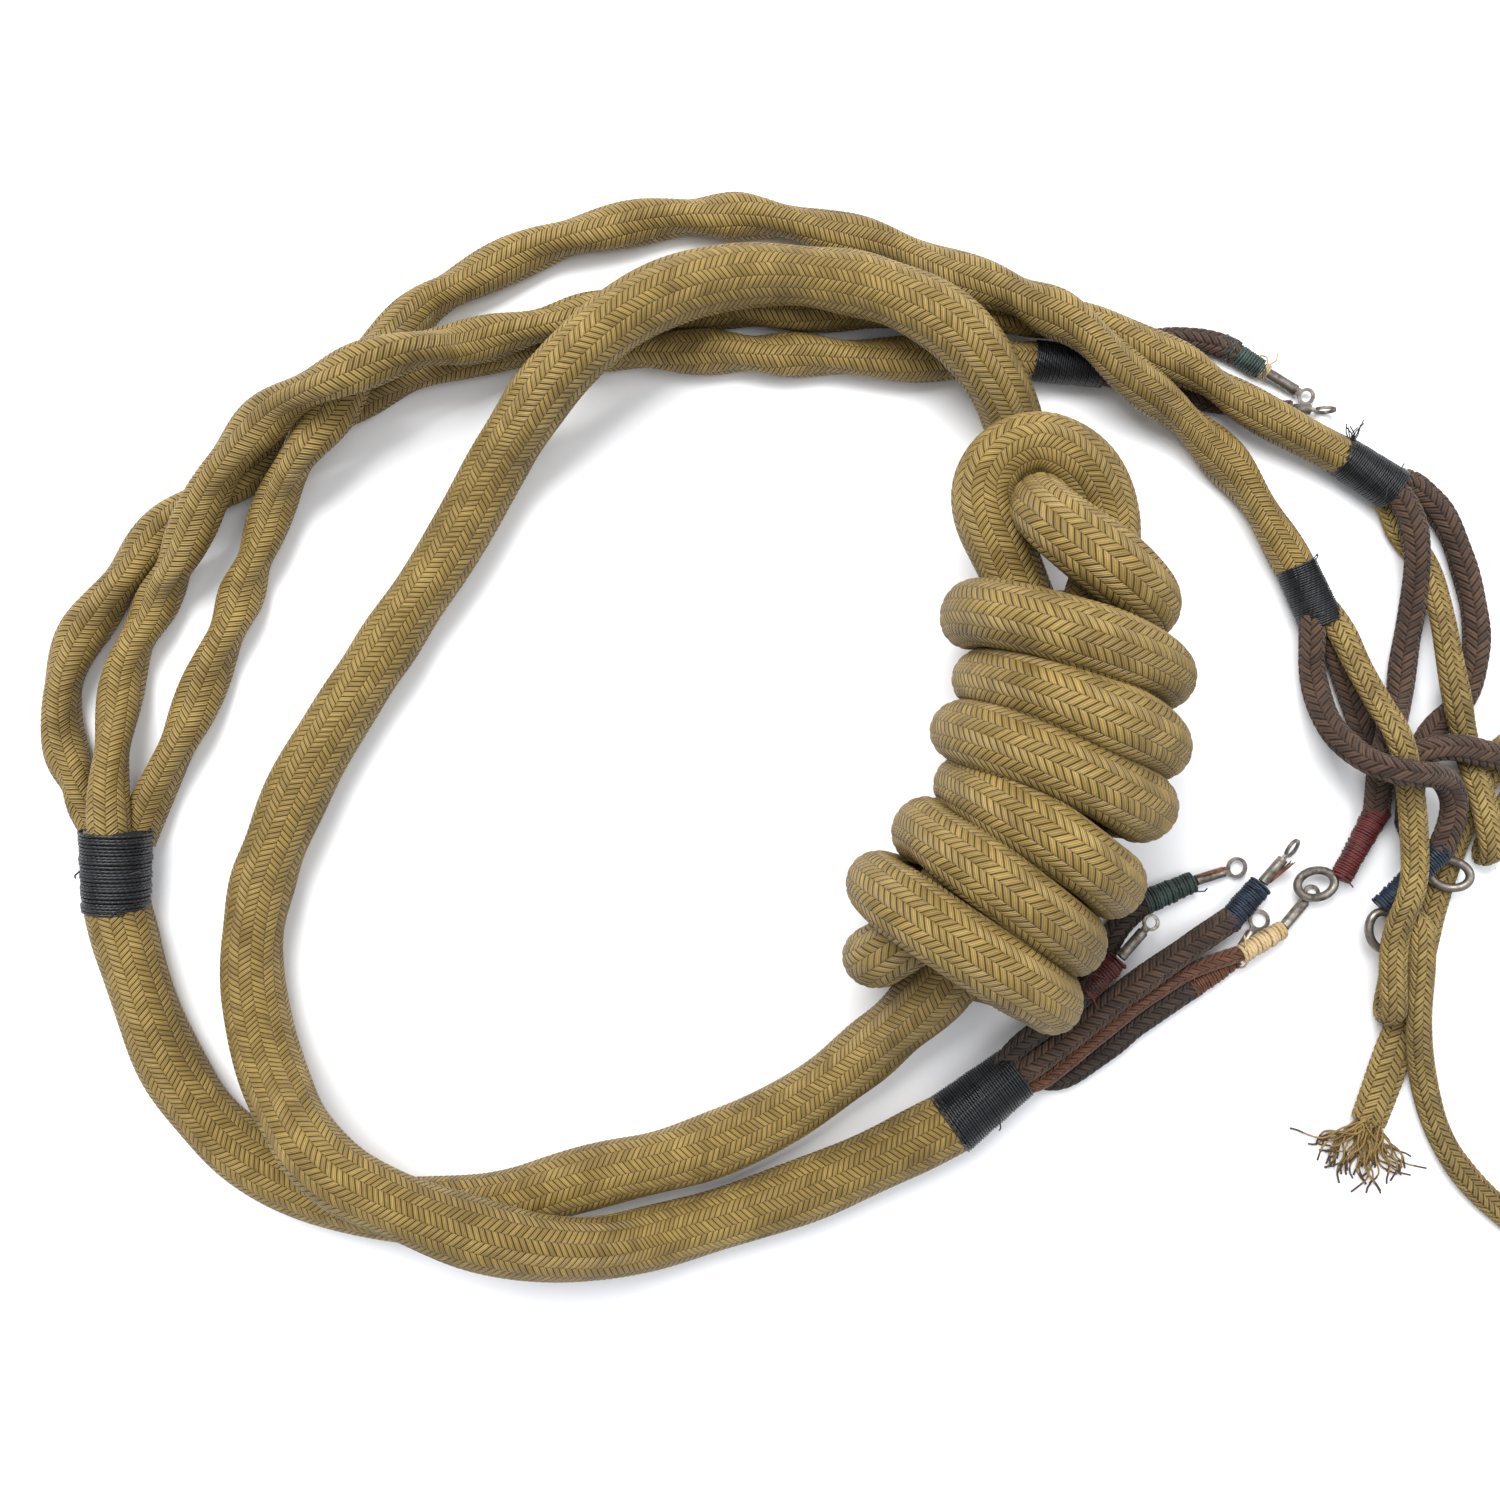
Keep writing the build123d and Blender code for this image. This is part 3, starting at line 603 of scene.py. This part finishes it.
# ---------------------------------------------------------------- whippings
# start, end, diameter at each, thread, loose ends, unevenness
WHIPPINGS = {
    "tail_whipping": ((21.5, -85.5, 7), (36, -74.6, 6), 14.1, 11.8, 0.6, 3, 0.5),
    "breakout_whipping": ((-164, -37.5, 7.3), (-163.5, -20.6, 8.6), 13.8, 15.2, 0.75, 5, 1.0),
    "branch_upper_whipping": ((99, 37, 4.8), (104.4, 24.9, 5), 8.9, 9.4, 0.5, 4, 0.5),
    "branch_middle_whipping": ((109, 62.5, 5), (120.6, 55, 5.2), 8.8, 9.4, 0.5, 4, 0.5),
    "branch_lower_whipping": ((41, 84, 4.8), (55.4, 82.6, 4.8), 8.8, 8.8, 0.5, 3, 0.5),
}
whippings = {}
for name, (start, end, d0, d1, thread, tails, loose) in WHIPPINGS.items():
    whippings[name] = wound(name + "_thread", start, end, d0, d1, thread, BLACK_THREAD, "black_thread",
                            (name,), tails, loose)

# ---------------------------------------------------------------- leads and straps
# diameter, material and slot
LEAD_FACTS = {
    "lead_upper_navy": (5.4, BROWN, "brown_braid"), "lead_upper_out": (5.4, BROWN, "brown_braid"),
    "lead_middle_red": (5.4, BROWN, "brown_braid"), "lead_middle_dark": (5.4, BROWN, "brown_braid"),
    "lead_lower_green": (4.9, BROWN, "brown_braid"), "lead_lower_plain": (3.6, BROWN, "brown_braid"),
    "tail_lead_black": (5.1, DARK, "black_braid"), "tail_lead_red": (4.5, DARK, "rust_braid"),
    "tail_lead_brown": (5.5, BROWN, "brown_braid"), "tail_lead_cream": (3.3, RUST, "rust_braid"),
    "tail_lead_orange": (4.6, DARK, "black_braid"),
}
cords = {}
for name, points in {**LEADS, **TAILS}.items():
    d, material, slot_name = LEAD_FACTS[name]
    cords[name] = braided(name + "_cord", points, d - 0.1, 6, 1.9, material, slot_name, (name,),
                          relief=0.55, samples=5, per_column=6, lumps=0.025, oval=0.03, oval_period=14)
for name, points in STRAPS.items():
    cords[name] = braided(name + "_knit", points, 4.0, 8, 1.7, STRAP, "stay_braid", (name,),
                          relief=0.5, samples=5, per_column=5, lumps=0.03, oval=0.05, oval_period=40,
                          squash=(1.36, 0.9), level=0.06,
                          widen=0.38 if name == "stay_strap_middle" else 0.0)

# ---------------------------------------------------------------- bindings on the leads' ends
# start, end, diameter at each, material and slot
BINDINGS = {
    "binding_upper_navy": ((129, -25.5, 8), (116.8, -37.8, 6.4), 5.4, 4.6, NAVY_THREAD, "navy_thread"),
    "binding_upper_out": ((163, -7, 3), (171, -6.5, 2.8), 5.4, 4.6, NAVY_THREAD, "navy_thread"),
    "binding_middle_red": ((117.5, -17, 3), (109, -32, 3.5), 5.5, 4.4, RED_THREAD, "red_thread"),
    "binding_middle_dark": ((124.6, -19.5, 3), (127.5, -29, 2.8), 5.4, 3.8, NAVY_THREAD, "navy_thread"),
    "binding_lower_green": ((83.5, 88, 2.5), (91.6, 83, 2.2), 5, 4, GREEN_THREAD, "green_thread"),
    "binding_tail_black": ((66, -37, 3), (76.4, -32.6, 2.6), 5.4, 4.6, GREEN_THREAD, "green_thread"),
    "binding_tail_red": ((51.5, -56, 8.4), (58, -49.3, 8.2), 4.8, 4.4, RED_THREAD, "red_thread"),
    "binding_tail_brown": ((84.5, -41, 3.5), (91.4, -33.3, 3.2), 5.6, 5.0, NAVY_THREAD, "navy_thread"),
    "binding_tail_cream": ((87, -48, 5.6), (96.4, -43.2, 3.2), 4.2, 3.6, CREAM_THREAD, "cream_thread"),
    "binding_tail_orange": ((77, -56, 2.5), (86.4, -50, 2), 4.8, 3.6, RUST_THREAD, "rust_thread"),
    "stay_upper_bound_end": ((156, -115, 2), (160.8, -118.5, 2.1), 4.0, 4.2, CREAM_THREAD, "cream_thread"),
}
bindings = {}
for name, (start, end, d0, d1, material, slot_name) in BINDINGS.items():
    thread = 0.9 if slot_name == "cream_thread" else 0.6
    bindings[name] = wound(name + "_thread", start, end, d0, d1, thread, material, slot_name, (name,),
                           tails=2, loose=1.3)

# ---------------------------------------------------------------- metal on the CAD nodes
for piece in bpy.data.objects:
    if piece.type == "MESH" and piece.name.split(".")[0].startswith(("eye_", "lug_")):
        for place in piece.material_slots:
            place.material = TINNED

# ---------------------------------------------------------------- bare strands
for name, (start, end) in {"strands_tail_black": ((76.9, -31.4, 3.8), (83.2, -29.6, 4.0)),
                           "strands_tail_brown": ((93.2, -32.7, 3.7), (98.2, -28, 4.2))}.items():
    shape = Shape()
    a, b = Vector(start) / 1000, Vector(end) / 1000
    for _ in range(11):
        spread = Vector([rng.uniform(-1, 1) for _ in range(3)]) * 0.0003
        mid = a.lerp(b, 0.5) + spread * 1.2
        tip = b + spread * 1.6 + (b - a) * rng.uniform(-0.25, 0.1)
        shape.tube(even([(a + spread * 0.6)[:], mid[:], tip[:]], 0.0006), 0.00011, 6, 1, 5)
    shape.make(name + "_wires", COPPER, "bare_copper", (name,))

# ---------------------------------------------------------------- cream tie with two tails
tie = Shape()
centre = Vector((92.6, 82.4, 2.3)) / 1000
axis = Vector((10.6, -6.1, 0)).normalized()
side = axis.cross(Vector((0, 0, 1)))
loop = []
for k in range(61):
    w = k / 60 * TAU * 2.5
    loop.append((centre + axis * (k / 60 - 0.5) * 0.0012 + side * math.cos(w) * 0.00155
                 + Vector((0, 0, 1)) * math.sin(w) * 0.00155)[:])
tie.tube(np.array(loop), 0.00024, 6, 1, 40, up=axis)
for ends in (((0, 1.4, 1.6), (0.8, 2.8, 2.4), (0.4, 4.6, 1.6)),
             ((0, 1.2, 1.5), (-1.4, 2.6, 2.0), (-2.6, 2.9, 0.6))):
    tail = [(centre + axis * x / 1000 + side * -y / 1000 + Vector((0, 0, z - 1)) / 1000)[:]
            for x, y, z in ends]
    tie.tube(even(tail, 0.0005), 0.0002, 6, 1, 6)
tie.make("tie_lower_cream_thread", CREAM_THREAD, "cream_thread", ("tie_lower_cream",))

# ---------------------------------------------------------------- black tuft on the middle branch whipping
tuft = Shape()
for _ in range(9):
    base = Vector((109.6 + rng.uniform(-0.8, 0.8), 65.2, 8.2)) / 1000
    tip = base + Vector((rng.uniform(-2.2, 2.2), rng.uniform(2.2, 4.6), rng.uniform(-1, 1.5))) / 1000
    mid = base.lerp(tip, 0.5) + Vector((rng.uniform(-1, 1), 0, rng.uniform(0, 1))) / 1000
    tuft.tube(even([base[:], mid[:], tip[:]], 0.0006), 0.00014, 5, 1, 4)
tuft.make("branch_middle_tuft", BLACK_THREAD, "black_thread")

# ---------------------------------------------------------------- frayed strap end
fray = Shape()
tips = Shape()
root = Vector((116.2, -87.2, 2.0)) / 1000
for k in range(64):
    fan = rng.uniform(-1.15, 0.7)
    reach = rng.uniform(9, 16) / 1000
    heading = Vector((-0.1 + fan * 0.95, -1 + abs(fan) * 0.45, 0)).normalized()
    across = Vector((-heading.y, heading.x, 0))
    start = root + Vector((rng.uniform(-2.6, 2.6), rng.uniform(-0.5, 1.5), rng.uniform(-0.9, 1.0))) / 1000
    bend, curl = rng.uniform(-0.4, 0.4), rng.uniform(-1, 1)
    line = []
    for j in range(13):
        t = j / 12
        sway = bend * t * t + 0.1 * math.sin(t * 9 + curl * 3) * t
        p = start + heading * reach * t + across * reach * sway
        p.z = max(0.0005, start.z * (1 - t * 0.5) + 0.0012 * math.sin(t * 5 + k))
        line.append(p[:])
    line = even(line, 0.0006)
    cut = int(len(line) * 0.82)
    fray.tube(line[:cut + 1], 0.00021, 5, 1, 14)
    tips.tube(line[cut:], 0.00022, 5, 1, 3)
fray.make("stay_middle_frayed_threads", OLIVE_THREAD, "stay_braid", ("stay_middle_frayed_end",))
tips.make("stay_middle_frayed_tips", TIP_THREAD, "stay_braid")

# ---------------------------------------------------------------- fuzz
FUZZ_LEADS = ("lead_upper_navy", "lead_upper_out", "lead_middle_red", "lead_middle_dark",
              "tail_lead_brown", "lead_lower_green")
FUZZ_PER_METRE = 3200
FUZZ_LENGTH = 0.9
for name in FUZZ_LEADS + tuple(STRAPS):
    line = cords[name][1]
    wide, fibre = (6.0, OLIVE_THREAD) if name in STRAPS else (5.4, TIP_THREAD)
    hairs(name + "_fuzz", line, wide, int(length_of(line) * FUZZ_PER_METRE), FUZZ_LENGTH, fibre)

# ---------------------------------------------------------------- cords' lines thinned
declare(trunk, trunk_line, 14, "object", (), "medium")
for name, (piece, line) in branches.items():
    declare(piece, line, 8.6, "fitting", (whippings[name + "_whipping"],))
# the binding and the metal end that go with each lead
ENDS = {
    "lead_upper_navy": ("binding_upper_navy", "eye_upper_navy"),
    "lead_upper_out": ("binding_upper_out", "eye_upper_out"),
    "lead_middle_red": ("binding_middle_red", "eye_middle_red"),
    "lead_middle_dark": ("binding_middle_dark", "eye_middle_dark"),
    "lead_lower_green": ("binding_lower_green", "lug_lower_green"),
    "lead_lower_plain": (None, "lug_lower_plain"),
    "tail_lead_black": ("binding_tail_black", "lug_tail_black"),
    "tail_lead_red": ("binding_tail_red", "lug_tail_red"),
    "tail_lead_brown": ("binding_tail_brown", "lug_tail_brown"),
    "tail_lead_cream": ("binding_tail_cream", "lug_tail_cream"),
    "tail_lead_orange": ("binding_tail_orange", "lug_tail_orange"),
}
for name, (binding, metal) in ENDS.items():
    piece, line = cords[name]
    held = [metal] if binding is None else [bindings[binding], metal]
    declare(piece, line, LEAD_FACTS[name][0], "fitting", held)
declare(*cords["stay_strap_upper"], 6.1, "fitting", (bindings["stay_upper_bound_end"],))
declare(*cords["stay_strap_middle"], 6.1, "bare", ())

# ---------------------------------------------------------------- floor and light
REACH = 12      # metres from the middle of the floor to each side
floor_mesh = bpy.data.meshes.new("floor")
floor_mesh.from_pydata([(-REACH, -REACH, 0), (REACH, -REACH, 0), (REACH, REACH, 0), (-REACH, REACH, 0)],
                       [], [(0, 1, 2, 3)])
floor = bpy.data.objects.new("floor", floor_mesh)
bpy.context.scene.collection.objects.link(floor)
paper = Nodes("floor_paper")
paper.shader.inputs["Base Color"].default_value = (0.93, 0.935, 0.95, 1)
paper.shader.inputs["Roughness"].default_value = 0.7
paper.shader.inputs["Specular IOR Level"].default_value = 0.2
floor_mesh.materials.append(paper.material)

world = bpy.data.worlds.new("studio")
bpy.context.scene.world = world
world.use_nodes = True
world.node_tree.nodes["Background"].inputs[0].default_value = (0.92, 0.95, 1.0, 1)
world.node_tree.nodes["Background"].inputs[1].default_value = 0.6


def softbox(name, place, target, size, power):
    light = bpy.data.lights.new(name, "AREA")
    light.shape = "RECTANGLE"
    light.size, light.size_y = size
    light.energy = power
    holder = bpy.data.objects.new(name, light)
    bpy.context.scene.collection.objects.link(holder)
    holder.location = place
    holder.rotation_euler = (Vector(target) - Vector(place)).to_track_quat("-Z", "Y").to_euler()


softbox("overhead_left", (-0.25, 0.45, 0.8), (0, 0, 0), (0.6, 0.5), 12.0)
softbox("overhead_right", (0.5, 0.1, 0.9), (0, 0, 0), (0.6, 0.6), 3.5)
bpy.context.scene.view_settings.view_transform = "Standard"
